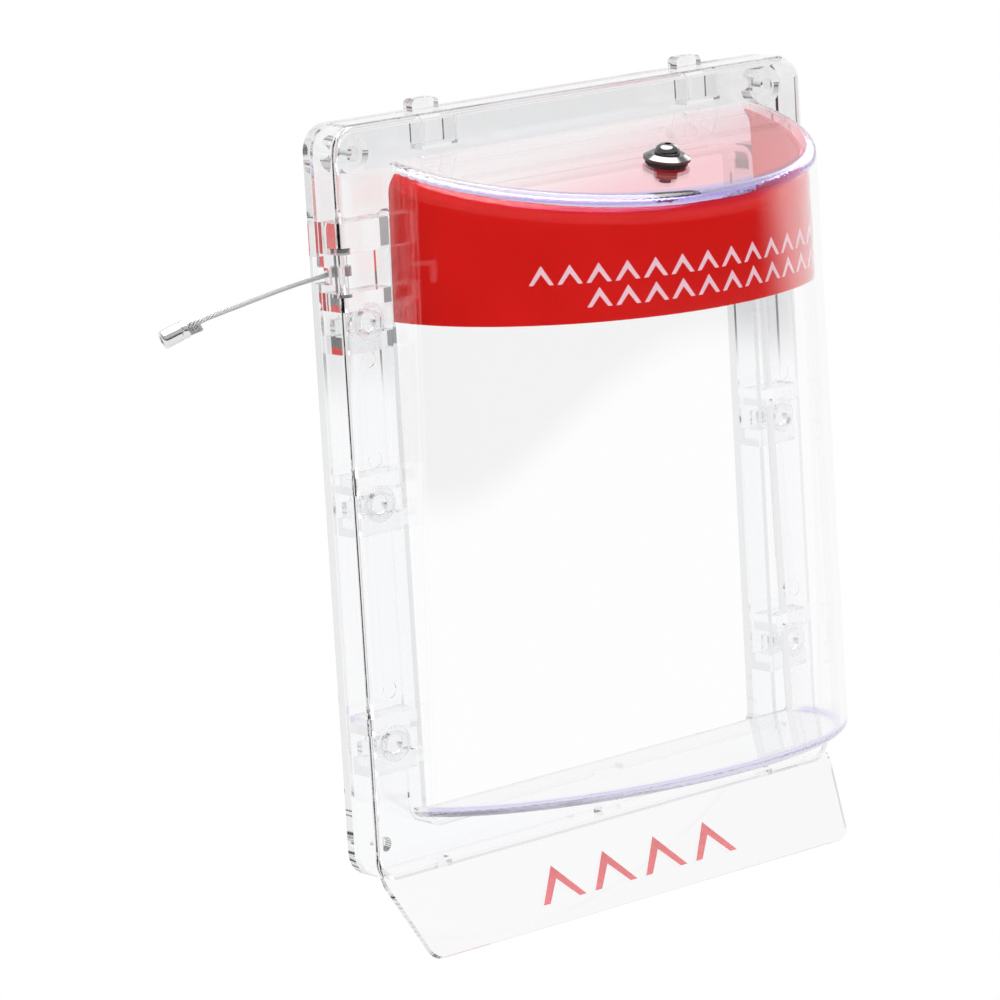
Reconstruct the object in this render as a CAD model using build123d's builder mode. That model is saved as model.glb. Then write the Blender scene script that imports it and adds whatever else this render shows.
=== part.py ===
from build123d import *
import os
from math import atan, cos, degrees, hypot, pi, radians, sin, tan

os.makedirs("parts", exist_ok=True)

# Wall-hung clear cover for a manual fire alarm point. The origin is the centre of
# the back plate's wall face, +Z is up, +X is to the viewer's right and the front
# faces -Y. All sizes are millimetres. Depth means the distance in front of the wall,
# and height means the distance above the frame's lower edge.

# Outline shared by the back plate and the cover's skirt
frame_width = 206.0
frame_height = 250.0
corner_radius = 9.0
part_gap = 0.3

# Back plate and the ring that stands on it round the window
plate_thickness = 3.4
window_side_margin = 24.5
window_top_margin = 32.0
window_low_margin = 16.5
window_corner = 4.0
ring_wall = 1.8
ring_notch_width = 13.0
ring_notch_depth = 4.0
ring_notch_reach = 3.6

# Wall screw holes in the four corners of the plate, the upper two in bosses
screw_inset_side = 12.0
screw_inset_end = 10.0
screw_boss_radius = 6.5
screw_boss_height = 6.0
wall_screw_hole_radius = 2.6

# Lift-off cover: flange, skirt and half-round dome in one moulding
cover_depth = 16.0
cover_wall = 2.6
skirt_edge_radius = 2.5
dome_low_margin = 19.8
dome_top_margin = 13.4
dome_side_margin_low = 15.5
dome_side_margin_high = 21.0
dome_depth_low = 72.0
dome_depth_high = 74.0
crown_fall = 0.19
base_rise = 0.13
dome_rim_radius = 4.0
loft_margin = 3.0

# Lift tab that slopes down and forward from the flange's lower edge
tab_reach = 15.0
tab_drop = 24.0
tab_side_inset = 2.0
tab_taper = 7.2
tab_thickness = 2.0
tab_root = 3.0
tab_corner_radius = 5.0

# Hanger pegs behind the flange and the hooks they rest in
low_peg_height = 46.0
middle_peg_rise = 10.0
top_peg_margin = 64.0
peg_inset = 11.5
peg_radius = 3.0
peg_head_lip = 0.8
peg_head_thickness = 1.4
peg_base_radius = 6.0
peg_base_thickness = 1.2
peg_back_clearance = 0.8
lift_travel = 5.5
hook_web = 1.5
hook_lip = 2.5
hook_side_clearance = 0.8
block_height = 5.8
block_gap = 0.4

# Small features of the moulding
nub_offset = 58.0
nub_width = 11.0
nub_depth = 4.5
nub_height = 4.0
nub_sink = 0.6
latch_width = 15.0
latch_height = 9.0
latch_length = 6.0
rib_wall = 1.2
catch_width = 8.0
catch_height = 4.4
catch_length = 5.0
drain_offset = 73.0
drain_width = 6.0
drain_depth = 3.0
drain_setback = 9.0
mark_inset = 10.0
mark_radius = 2.7
mark_depth = 0.4
mark_from_low_peg = 18.4
mark_from_middle_peg = 15.0
mark_from_top_peg = -12.0

# Red band inside the dome's crown
band_thickness = 1.0
band_depth = 52.2
band_crown_gap = 2.0

# Screw, washers and nut through the dome's crown
screw_reach = 43.0
screw_radius = 2.0
screw_hole_clearance = 0.2
thread_clearance = 0.05
seal_radius = 7.0
seal_thickness = 2.2
cup_rim = 0.8
cup_thickness = 1.2
cup_rim_drop = 0.9
cup_cone_taper = 60.0
head_radius = 4.2
head_height = 3.1
head_round = 2.85
drive_radius = 1.25
drive_depth = 1.6
inner_washer_radius = 6.5
inner_washer_thickness = 1.0
nut_radius = 4.0
nut_height = 3.2
screw_tail = 1.5

# Steel tether cable with its pin, eye and end sleeve, all carried by the cover
cable_radius = 0.8
bend_share = 0.45
cable_block_rise = 22.8
cable_block_height = 10.2
pin_radius = 1.25
pin_seat = 1.5
pin_inset = 6.0
pin_setback = 3.3
pin_clearance = 0.05
eye_radius = 2.5
eye_height = 3.2
eye_barrel_radius = 1.5
eye_barrel_end = 4.5
eye_rise = 17.0
cable_notch_reach = 4.5
cable_notch_margin = 1.0
cable_notch_clearance = 0.8
cable_groove_floor = 1.2
sleeve_radius = 3.1
sleeve_length = 9.0
sleeve_bore_radius = 1.9
sleeve_bore_depth = 2.0
sleeve_edge_radius = 0.6
tail_radius = 1.0
tail_length = 4.5
tail_offset = 1.95

# Chosen points of the cable after the eye: sideways from the plate's left edge,
# depth from the wall and height from the eye
cable_points = [
    (-1.4, -2.3, -2.4),
    (-10.8, -2.8, -3.2),
    (-26.2, -5.3, -4.7),
    (-41.7, -8.3, -6.2),
    (-50.8, -9.0, -7.4),
    (-55.9, -7.0, -9.5),
]

# Worked out from the sizes above
floor_z = -frame_height / 2
ceiling_z = frame_height / 2
side_x = frame_width / 2
window_width = frame_width - 2 * window_side_margin
window_height = frame_height - window_top_margin - window_low_margin
window_floor_z = floor_z + window_low_margin
crown_z = ceiling_z - dome_top_margin
base_z = floor_z + dome_low_margin
dome_half_width_low = side_x - dome_side_margin_low
dome_half_width_high = side_x - dome_side_margin_high
low_peg_z = floor_z + low_peg_height
top_peg_z = ceiling_z - top_peg_margin
middle_peg_z = (low_peg_z + top_peg_z) / 2 + middle_peg_rise
peg_levels = {"low": low_peg_z, "middle": middle_peg_z, "top": top_peg_z}
mark_heights = (
    low_peg_z + mark_from_low_peg,
    middle_peg_z + mark_from_middle_peg,
    top_peg_z + mark_from_top_peg,
)
skirt_back = plate_thickness + part_gap
flange_back = cover_depth - cover_wall
ring_front = flange_back - part_gap
window_center_z = window_floor_z + window_height / 2
ring_side_x = window_width / 2 + ring_wall
screw_x = side_x - screw_inset_side
screw_z = ceiling_z - screw_inset_end
peg_x = side_x - peg_inset
peg_head_radius = peg_radius + peg_head_lip
peg_tip = plate_thickness + peg_back_clearance
peg_head_front = peg_tip + peg_head_thickness
hook_front = flange_back - peg_base_thickness - part_gap
hook_side_x = side_x - cover_wall - hook_side_clearance
block_near = peg_head_radius + block_gap
block_far = block_near + block_height
block_side_x = ring_side_x + hook_side_clearance
lip_back = peg_head_front + part_gap
lip_top = lift_travel - peg_head_radius - part_gap
pin_x = -(side_x - pin_inset)
pin_depth = hook_front - pin_setback
eye_z = top_peg_z + eye_rise
block_floor_z = top_peg_z + cable_block_rise
cable_exit_z = eye_z + cable_points[0][2]
notch_low_z = cable_exit_z - cable_radius - cable_notch_clearance
plate_notch_top_z = cable_exit_z + cable_radius + cable_notch_clearance + lift_travel
skirt_notch_top_z = eye_z + eye_height / 2
cup_radius = seal_radius + cup_rim
crown_angle = degrees(atan(crown_fall))
base_angle = degrees(atan(base_rise))
screw_hole_radius = screw_radius + screw_hole_clearance


def wall_plane(depth):
    """Plane that faces the viewer at a depth in front of the wall."""
    return Plane.XZ.offset(depth)


def crown_face(reach, drop):
    """Plane along the crown, a reach in front of the flange and a drop below it."""
    return Plane(
        origin=(0, -cover_depth - reach, crown_z - crown_fall * reach - drop),
        x_dir=(1, 0, 0),
        z_dir=(0, -sin(radians(crown_angle)), cos(radians(crown_angle))),
    )


crown_plane = crown_face(screw_reach, 0)


def dome_section(height, half_width, depth, back):
    """Draw the half-round plan of the dome with a short straight back."""
    with BuildSketch(Plane.XY.offset(height)) as section:
        with BuildLine():
            EllipticalCenterArc((0, -cover_depth), half_width, depth, 180, arc_size=180)
            Polyline(
                (half_width, -cover_depth),
                (half_width, back),
                (-half_width, back),
                (-half_width, -cover_depth),
            )
        make_face()
    return section.sketch


def dome_solid(inset, back, rim_radius, low=None):
    """Make the dome as a full body, shrunk by inset and open to nothing."""
    crown = crown_face(0, inset / cos(radians(crown_angle)))
    base = Plane(
        origin=(0, -cover_depth, base_z + inset / cos(radians(base_angle))),
        x_dir=(1, 0, 0),
        z_dir=(0, sin(radians(base_angle)), cos(radians(base_angle))),
    )
    with BuildPart() as dome:
        add(dome_section(
            base_z - loft_margin, dome_half_width_low - inset, dome_depth_low - inset, back
        ))
        add(dome_section(
            crown_z + loft_margin, dome_half_width_high - inset, dome_depth_high - inset, back
        ))
        loft(ruled=True)
        split(bisect_by=crown, keep=Keep.BOTTOM)
        if low is None:
            split(bisect_by=base, keep=Keep.TOP)
        else:
            split(bisect_by=Plane.XY.offset(low), keep=Keep.TOP)
        if rim_radius > 0:
            rims = dome.faces().sort_by(Axis.Z)
            for rim in (rims[-1], rims[0]):
                edges = rim.edges().filter_by(lambda e: e.center().Y < back - part_gap)
                fillet(edges, rim_radius)
    return dome.part


# Back plate against the wall
with BuildPart() as back_plate:
    with BuildSketch(wall_plane(0)):
        RectangleRounded(frame_width, frame_height, corner_radius)
        with Locations((0, window_center_z)):
            RectangleRounded(window_width, window_height, window_corner, mode=Mode.SUBTRACT)
    extrude(amount=plate_thickness)
    with BuildSketch(wall_plane(plate_thickness)):
        with Locations((-screw_x, screw_z), (screw_x, screw_z)):
            Circle(screw_boss_radius)
    extrude(amount=screw_boss_height)
    with BuildSketch(wall_plane(0)):
        with GridLocations(2 * screw_x, 2 * screw_z, 2, 2):
            Circle(wall_screw_hole_radius)
    extrude(amount=plate_thickness + screw_boss_height, mode=Mode.SUBTRACT)
    with BuildSketch(wall_plane(cable_groove_floor)):
        with Locations((-side_x, (notch_low_z + plate_notch_top_z) / 2)):
            Rectangle(2 * cable_notch_reach, plate_notch_top_z - notch_low_z)
    extrude(amount=plate_thickness - cable_groove_floor, mode=Mode.SUBTRACT)
back_plate.part.label = "back_plate"

# Ring round the window, with the hooks and their lower blocks on its sides
with BuildPart() as window_ring:
    with BuildSketch(wall_plane(plate_thickness)):
        with Locations((0, window_center_z)):
            RectangleRounded(
                window_width + 2 * ring_wall,
                window_height + 2 * ring_wall,
                window_corner + ring_wall,
            )
            RectangleRounded(window_width, window_height, window_corner, mode=Mode.SUBTRACT)
    extrude(amount=ring_front - plate_thickness)
    with BuildSketch(wall_plane(ring_front)):
        with Locations((0, window_floor_z)):
            Rectangle(ring_notch_width, 2 * ring_notch_reach)
    extrude(amount=-ring_notch_depth, mode=Mode.SUBTRACT)
    shelf_width = hook_side_x - ring_side_x + ring_wall / 2
    shelf_x = hook_side_x - shelf_width / 2
    web_x = peg_x - peg_base_radius
    lip_width = hook_side_x - web_x
    lip_height = lip_top + block_near + hook_web
    for side in (-1, 1):
        for peg_z in peg_levels.values():
            with BuildSketch(wall_plane(plate_thickness)):
                with Locations((side * shelf_x, peg_z - block_near - block_height / 2)):
                    Rectangle(shelf_width, block_height)
                with Locations((side * web_x, peg_z + lip_top - lip_height / 2)):
                    Rectangle(hook_web, lip_height)
            extrude(amount=hook_front - plate_thickness)
            with BuildSketch(wall_plane(lip_back)):
                with Locations((side * (web_x + lip_width / 2), peg_z + lip_top - lip_height / 2)):
                    Rectangle(lip_width, lip_height)
                with Locations((side * peg_x, peg_z)):
                    Circle(peg_radius + part_gap, mode=Mode.SUBTRACT)
                with Locations((side * peg_x, peg_z + lip_top)):
                    Rectangle(2 * (peg_radius + part_gap), 2 * lip_top, mode=Mode.SUBTRACT)
            extrude(amount=hook_lip)
window_ring.part.label = "window_ring"

# Pin that holds the cable's eye, seated in the blocks above and below it
pin_foot = top_peg_z + block_far - pin_seat
pin_top = block_floor_z + pin_seat
with BuildPart() as anchor_pin:
    with BuildSketch(Plane.XY.offset(pin_foot)):
        with Locations((pin_x, -pin_depth)):
            Circle(pin_radius)
    extrude(amount=pin_top - pin_foot)
anchor_pin.part.label = "anchor_pin"

# Eye crimped on the cable's inner end, turned towards the notch
eye_center = Vector(pin_x, -pin_depth, eye_z)
cable_bends = [Vector(-side_x, 0, eye_z) + Vector(*point) for point in cable_points]
eye_aim = (cable_bends[0] - eye_center).normalized()
cable_start = eye_center + eye_aim * eye_barrel_end
with BuildPart() as cable_eye:
    with BuildSketch(Plane.XY.offset(eye_z - eye_height / 2)):
        with Locations((pin_x, -pin_depth)):
            Circle(eye_radius)
    extrude(amount=eye_height)
    with BuildSketch(Plane(origin=eye_center, z_dir=eye_aim)):
        Circle(eye_barrel_radius)
    extrude(amount=eye_barrel_end)
    with BuildSketch(Plane.XY.offset(eye_z - eye_height)):
        with Locations((pin_x, -pin_depth)):
            Circle(pin_radius + pin_clearance)
    extrude(amount=2 * eye_height, mode=Mode.SUBTRACT)
cable_eye.part.label = "cable_eye"

# Cable: straight runs joined by tangent arcs
route = [cable_start] + cable_bends
runs = [(b - a).length for a, b in zip(route, route[1:])]
bends = []
for index in range(1, len(route) - 1):
    before = route[index] - route[index - 1]
    after = route[index + 1] - route[index]
    half_turn = radians(before.get_angle(after)) / 2
    bends.append(bend_share * min(runs[index - 1], runs[index]) / tan(half_turn))
print("cable runs", [round(run, 1) for run in runs])
print("cable bend radii", [round(bend, 1) for bend in bends])
with BuildPart() as tether_cable:
    with BuildLine() as cable_path:
        FilletPolyline(*route, radius=bends)
    with BuildSketch(Plane(origin=cable_start, z_dir=eye_aim)):
        Circle(cable_radius)
    sweep(path=cable_path.wire())
tether_cable.part.label = "tether_cable"
cable_length = cable_path.wire().length
cable_volume_ratio = tether_cable.part.volume / (cable_length * pi * cable_radius**2)
print("cable length", round(cable_length, 2), "volume ratio", round(cable_volume_ratio, 4))

# Sleeve crimped on the cable's free end
sleeve_aim = (route[-1] - route[-2]).normalized()
with BuildPart() as end_sleeve:
    with BuildSketch(Plane(origin=route[-1], z_dir=sleeve_aim)):
        Circle(sleeve_radius)
    extrude(amount=sleeve_length)
    fillet(end_sleeve.edges().filter_by(GeomType.CIRCLE), sleeve_edge_radius)
    with BuildSketch(Plane(origin=route[-1] + sleeve_aim * sleeve_length, z_dir=sleeve_aim)):
        Circle(sleeve_bore_radius)
    extrude(amount=-sleeve_bore_depth, mode=Mode.SUBTRACT)
end_sleeve.part.label = "end_sleeve"

# Cut tail of the cable's loop, where it comes back out of the sleeve
tail_side = sleeve_aim.cross(Vector(0, 1, 0)).normalized()
with BuildPart() as cable_tail:
    with BuildSketch(Plane(origin=route[-1] + tail_side * tail_offset, z_dir=sleeve_aim)):
        Circle(tail_radius)
    extrude(amount=-tail_length)
cable_tail.part.label = "cable_tail"

# Cover: flange with its skirt, the dome, the lift tab and small moulded features
inner_dome = dome_solid(cover_wall, -flange_back + cover_wall, dome_rim_radius - cover_wall)
with BuildPart() as cover_shell:
    with BuildSketch(wall_plane(skirt_back)):
        RectangleRounded(frame_width, frame_height, corner_radius)
    extrude(amount=cover_depth - skirt_back)
    front = cover_shell.faces().sort_by(Axis.Y)[0]
    fillet(front.edges(), skirt_edge_radius)
    with BuildSketch(wall_plane(skirt_back)):
        RectangleRounded(
            frame_width - 2 * cover_wall,
            frame_height - 2 * cover_wall,
            corner_radius - cover_wall,
        )
    extrude(amount=flange_back - skirt_back, mode=Mode.SUBTRACT)
    add(dome_solid(0, -flange_back, dome_rim_radius))
    add(inner_dome, mode=Mode.SUBTRACT)
    tab_down = Vector(0, -tab_reach, -tab_drop).normalized()
    tab_length = hypot(tab_reach, tab_drop)
    tab_plane = Plane(
        origin=(0, -cover_depth, floor_z),
        x_dir=(1, 0, 0),
        z_dir=tab_down.cross(Vector(1, 0, 0)),
    )
    tab_top = side_x - tab_side_inset
    tab_foot = tab_top - tab_taper
    with BuildSketch(tab_plane.offset(-tab_thickness / 2)):
        with BuildLine():
            Polyline(
                (-tab_top, tab_root),
                (-tab_top, 0),
                (-tab_foot, -tab_length),
                (tab_foot, -tab_length),
                (tab_top, 0),
                (tab_top, tab_root),
                close=True,
            )
        make_face()
        fillet(vertices().group_by(Axis.Y)[0], tab_corner_radius)
    extrude(amount=tab_thickness)
    with BuildSketch(wall_plane(skirt_back)):
        nub_z = ceiling_z + nub_height / 2 - nub_sink
        with Locations((-nub_offset, nub_z), (nub_offset, nub_z)):
            RectangleRounded(nub_width, nub_height + 2 * nub_sink, nub_height / 2)
    extrude(amount=nub_depth)
    for side in (-1, 1):
        latch_z = ceiling_z - cover_wall - latch_height / 2
        with BuildSketch(wall_plane(flange_back)):
            with Locations((side * nub_offset, latch_z)):
                Rectangle(latch_width, latch_height)
            with Locations((side * nub_offset, latch_z + rib_wall)):
                Rectangle(latch_width - 2 * rib_wall, latch_height, mode=Mode.SUBTRACT)
        extrude(amount=-latch_length)
    with BuildSketch(wall_plane(flange_back)):
        with Locations((0, floor_z + cover_wall + catch_height / 2)):
            Rectangle(catch_width, catch_height)
    extrude(amount=-catch_length)
    with BuildSketch(Plane.XY.offset(floor_z)):
        with Locations((-drain_offset, -drain_setback), (drain_offset, -drain_setback)):
            Rectangle(drain_width, drain_depth)
    extrude(amount=cover_wall, mode=Mode.SUBTRACT)
    mark_x = side_x - mark_inset
    with BuildSketch(wall_plane(flange_back)):
        for height in mark_heights:
            with Locations((-mark_x, height), (mark_x, height)):
                Circle(mark_radius)
    extrude(amount=mark_depth, mode=Mode.SUBTRACT)
    block_width = side_x - cover_wall / 2 - block_side_x
    block_x = block_side_x + block_width / 2
    for side in (-1, 1):
        with BuildSketch(wall_plane(skirt_back + part_gap)):
            for peg_z in peg_levels.values():
                with Locations((side * block_x, peg_z + block_near + block_height / 2)):
                    Rectangle(block_width, block_height)
            with Locations((side * block_x, block_floor_z + cable_block_height / 2)):
                Rectangle(block_width, cable_block_height)
        extrude(amount=flange_back + cover_wall / 2 - skirt_back - part_gap)
        with BuildSketch(wall_plane(flange_back)):
            for peg_z in peg_levels.values():
                with Locations((side * peg_x, peg_z)):
                    Circle(peg_base_radius + part_gap)
        extrude(amount=-peg_base_thickness - part_gap, mode=Mode.SUBTRACT)
    with BuildSketch(Plane.XY.offset(pin_foot)):
        with Locations((pin_x, -pin_depth)):
            Circle(pin_radius + pin_clearance)
    extrude(amount=pin_top - pin_foot, mode=Mode.SUBTRACT)
    with BuildSketch(wall_plane(skirt_back)):
        with Locations((-side_x, (notch_low_z + skirt_notch_top_z) / 2)):
            Rectangle(2 * cable_notch_reach, skirt_notch_top_z - notch_low_z)
    extrude(amount=pin_depth + cable_notch_margin - skirt_back, mode=Mode.SUBTRACT)
    with BuildSketch(crown_plane):
        Circle(screw_hole_radius)
    extrude(amount=-2 * cover_wall, mode=Mode.SUBTRACT)
cover_shell.part.label = "cover_shell"

# Pegs that hang the cover in the frame's hooks
hanger_pegs = {}
for side_name, side in (("left", -1), ("right", 1)):
    for level_name, peg_z in peg_levels.items():
        with BuildPart() as peg:
            with BuildSketch(wall_plane(peg_tip)):
                with Locations((side * peg_x, peg_z)):
                    Circle(peg_head_radius)
            extrude(amount=peg_head_thickness)
            with BuildSketch(wall_plane(peg_tip)):
                with Locations((side * peg_x, peg_z)):
                    Circle(peg_radius)
            extrude(amount=flange_back - peg_tip)
            with BuildSketch(wall_plane(flange_back)):
                with Locations((side * peg_x, peg_z)):
                    Circle(peg_base_radius)
            extrude(amount=-peg_base_thickness)
        peg.part.label = f"{side_name}_{level_name}_peg"
        hanger_pegs[peg.part.label] = peg.part

# Red band that follows the inside of the dome's crown
band_inset = cover_wall + part_gap
band_back = -cover_depth + rib_wall
band_low = crown_z - band_depth
band_outer = dome_solid(band_inset, band_back, 0, band_low)
core_inset = band_inset + band_thickness
band_core = dome_solid(core_inset, band_back + band_thickness, 0, band_low - band_thickness)
with BuildPart() as red_band:
    add(band_outer)
    split(bisect_by=crown_face(0, cover_wall + band_crown_gap), keep=Keep.BOTTOM)
    add(band_core, mode=Mode.SUBTRACT)
red_band.part.label = "red_band"

# Screw through the dome's crown, drawn along the crown's own normal
with BuildPart() as seal_washer:
    with BuildSketch(crown_plane):
        Circle(seal_radius)
        Circle(screw_hole_radius, mode=Mode.SUBTRACT)
    extrude(amount=seal_thickness)
seal_washer.part.label = "seal_washer"

with BuildPart() as cup_washer:
    with BuildSketch(crown_plane.offset(seal_thickness)):
        Circle(cup_radius)
    extrude(amount=cup_thickness, taper=cup_cone_taper)
    with BuildSketch(crown_plane.offset(seal_thickness)):
        Circle(cup_radius)
        Circle(seal_radius, mode=Mode.SUBTRACT)
    extrude(amount=-cup_rim_drop)
    with BuildSketch(crown_plane.offset(seal_thickness)):
        Circle(screw_hole_radius)
    extrude(amount=cup_thickness, mode=Mode.SUBTRACT)
cup_washer.part.label = "cup_washer"

head_base = seal_thickness + cup_thickness
screw_foot = cover_wall + inner_washer_thickness + nut_height + screw_tail
with BuildPart() as crown_screw:
    with BuildSketch(crown_plane.offset(-screw_foot)):
        Circle(screw_radius)
    extrude(amount=screw_foot + head_base)
    with BuildSketch(crown_plane.offset(head_base)):
        Circle(head_radius)
    extrude(amount=head_height)
    head_edge = crown_screw.edges().filter_by(GeomType.CIRCLE).sort_by(Axis.Z)[-1]
    fillet(head_edge, head_round)
    with BuildSketch(crown_plane.offset(head_base + head_height)):
        RegularPolygon(drive_radius, 6)
    extrude(amount=-drive_depth, mode=Mode.SUBTRACT)
crown_screw.part.label = "crown_screw"

with BuildPart() as inner_washer:
    with BuildSketch(crown_plane.offset(-cover_wall)):
        Circle(inner_washer_radius)
        Circle(screw_hole_radius, mode=Mode.SUBTRACT)
    extrude(amount=-inner_washer_thickness)
inner_washer.part.label = "inner_washer"

with BuildPart() as crown_nut:
    with BuildSketch(crown_plane.offset(-cover_wall - inner_washer_thickness)):
        RegularPolygon(nut_radius, 6)
        Circle(screw_radius + thread_clearance, mode=Mode.SUBTRACT)
    extrude(amount=-nut_height)
crown_nut.part.label = "crown_nut"

pieces = [
    back_plate.part,
    window_ring.part,
    anchor_pin.part,
    cable_eye.part,
    tether_cable.part,
    end_sleeve.part,
    cable_tail.part,
    cover_shell.part,
    red_band.part,
    seal_washer.part,
    cup_washer.part,
    crown_screw.part,
    inner_washer.part,
    crown_nut.part,
]
pieces += hanger_pegs.values()
for piece in pieces:
    export_step(piece, f"parts/{piece.label}.step")
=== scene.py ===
"""Looks of a clear lift-off cover for a manual fire alarm point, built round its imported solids."""

import logging
import math
from dataclasses import dataclass
from enum import Enum
from typing import Any, Iterable, Sequence

import bmesh
import bpy
from mathutils import Matrix, Vector


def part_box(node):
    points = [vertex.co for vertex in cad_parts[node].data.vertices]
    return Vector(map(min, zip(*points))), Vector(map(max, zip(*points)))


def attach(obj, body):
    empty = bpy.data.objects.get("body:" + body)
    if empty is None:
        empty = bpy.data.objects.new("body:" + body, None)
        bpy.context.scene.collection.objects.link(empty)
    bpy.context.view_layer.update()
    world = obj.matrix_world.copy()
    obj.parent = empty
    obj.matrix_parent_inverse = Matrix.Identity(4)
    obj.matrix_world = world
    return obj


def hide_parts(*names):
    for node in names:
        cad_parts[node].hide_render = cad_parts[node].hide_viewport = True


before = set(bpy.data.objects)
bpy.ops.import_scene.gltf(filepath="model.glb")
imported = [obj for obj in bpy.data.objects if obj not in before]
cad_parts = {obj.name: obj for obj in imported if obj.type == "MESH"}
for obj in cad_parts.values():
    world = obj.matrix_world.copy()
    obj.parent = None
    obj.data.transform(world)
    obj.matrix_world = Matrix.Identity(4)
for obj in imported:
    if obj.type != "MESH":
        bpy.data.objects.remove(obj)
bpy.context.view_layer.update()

log = logging.getLogger("cover")

MM = 0.001

# The first two gaps are in metres, as the CAD meshes are, and the third is in millimetres.
MERGE_GAP = 1e-6
CONTACT_SLACK = 10 * MERGE_GAP
CONTACT_GAP = 0.03
SHARP_ANGLE = math.radians(32.0)
FLAT_ANGLE = math.radians(0.05)
FULL_TURN = 2 * math.pi

Point = tuple[float, float, float]
Span = tuple[float, float]
Colour = tuple[float, float, float, float]
WHITE: Colour = (1.0, 1.0, 1.0, 1.0)

# The lit side of the studio is behind the object, and by this share to its right.
REAR_LEAN = 0.8
# Light that is mirrored twice or more on its way sees this much from everywhere.
MANY_LIGHT = 0.85


class Body(Enum):
    """The two bodies of the object."""

    FRAME = "frame"
    COVER = "cover"


@dataclass(frozen=True)
class Sock:
    """One output socket of a node tree, with arithmetic that adds Math nodes.

    Args:
        tree: The tree that the socket is in.
        out: The socket itself.
    """

    tree: "Nodes"
    out: Any

    def _math(self, operation: str, *values: Any) -> "Sock":
        """Add one Math node."""
        return self.tree.node("ShaderNodeMath", {"operation": operation}, dict(enumerate(values)))

    def __add__(self, other: Any) -> "Sock":
        """Sum."""
        return self._math("ADD", self, other)

    __radd__ = __add__

    def __sub__(self, other: Any) -> "Sock":
        """Difference."""
        return self._math("SUBTRACT", self, other)

    def __rsub__(self, other: Any) -> "Sock":
        """Reflected difference."""
        return self._math("SUBTRACT", other, self)

    def __mul__(self, other: Any) -> "Sock":
        """Product."""
        return self._math("MULTIPLY", self, other)

    __rmul__ = __mul__

    def __truediv__(self, other: Any) -> "Sock":
        """Quotient."""
        return self._math("DIVIDE", self, other)

    def __pow__(self, other: Any) -> "Sock":
        """Power."""
        return self._math("POWER", self, other)

    def sin(self) -> "Sock":
        """Sine."""
        return self._math("SINE", self)

    def cos(self) -> "Sock":
        """Cosine."""
        return self._math("COSINE", self)

    def sqrt(self) -> "Sock":
        """Square root."""
        return self._math("SQRT", self)

    def above(self, limit: float) -> "Sock":
        """1 above a limit, else 0."""
        return self._math("GREATER_THAN", self, limit)

    def ramp(self, low: float, high: float) -> "Sock":
        """Smooth step from 0 at low to 1 at high."""
        settings = {"interpolation_type": "SMOOTHSTEP"}
        return self.tree.node("ShaderNodeMapRange", settings, {0: self, 1: low, 2: high})


class Nodes:
    """Builds one node tree, for a shader or for geometry."""

    def __init__(self, tree: bpy.types.NodeTree) -> None:
        """Start on an empty tree.

        Args:
            tree: The tree to fill.
        """
        self.tree = tree
        self.tree.nodes.clear()

    def node(self, kind: str, settings: dict[str, Any] | None = None,
             values: dict[Any, Any] | None = None, output: Any = 0) -> Sock:
        """Add a node, set it up and return one of its outputs.

        Args:
            kind: The node's type name.
            settings: Properties of the node, set before its sockets.
            values: Socket name or index to a number, a colour or a Sock.
            output: Name or index of the output that is returned.

        Returns:
            The chosen output.
        """
        made = self.tree.nodes.new(kind)
        for name, value in (settings or {}).items():
            setattr(made, name, value)
        for name, value in (values or {}).items():
            if isinstance(value, Sock):
                self.tree.links.new(value.out, made.inputs[name])
            else:
                made.inputs[name].default_value = value
        outputs = made.outputs
        return Sock(self, outputs[output] if len(outputs) else made)

    def vector(self, operation: str, *values: Any) -> Sock:
        """Add one Vector Math node."""
        return self.node("ShaderNodeVectorMath", {"operation": operation}, dict(enumerate(values)))

    def scale(self, vector: Sock, factor: Any) -> Sock:
        """Multiply a vector by a number."""
        return self.node("ShaderNodeVectorMath", {"operation": "SCALE"}, {0: vector, "Scale": factor})

    def combine(self, x: Any, y: Any, z: Any) -> Sock:
        """Make a vector of three numbers."""
        return self.node("ShaderNodeCombineXYZ", values={0: x, 1: y, 2: z})

    def split(self, vector: Sock) -> tuple[Sock, ...]:
        """Take a vector's x, y and z."""
        parts = self.node("ShaderNodeSeparateXYZ", values={0: vector}).out.node.outputs
        return tuple(Sock(self, part) for part in parts)

    def place(self) -> tuple[Sock, ...]:
        """Object coordinates in millimetres: the vector, then x, y and z."""
        where = self.scale(self.node("ShaderNodeTexCoord", output="Object"), 1 / MM)
        return where, *self.split(where)

    def noise(self, where: Sock, scale: float, detail: float = 2.0) -> Sock:
        """Noise from 0 to 1 over a place."""
        return self.node("ShaderNodeTexNoise", values={"Vector": where, "Scale": scale, "Detail": detail})

    def mix(self, share: Any, low: Any, high: Any) -> Sock:
        """Blend two colours by a share."""
        values = {0: share, 6: low, 7: high}
        return self.node("ShaderNodeMix", {"data_type": "RGBA"}, values, output=2)

    def bump(self, height: Sock, distance: float) -> Sock:
        """Bump normal from a height, in metres."""
        return self.node("ShaderNodeBump", values={"Height": height, "Distance": distance})

    def principled(self, colour: Any, roughness: Sock, **more: Any) -> Sock:
        """Principled shader, with more of its sockets by name, and _ for a space."""
        values = {"Base Color": colour, "Roughness": roughness}
        values |= {name.replace("_", " "): value for name, value in more.items()}
        return self.node("ShaderNodeBsdfPrincipled", values=values)


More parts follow.
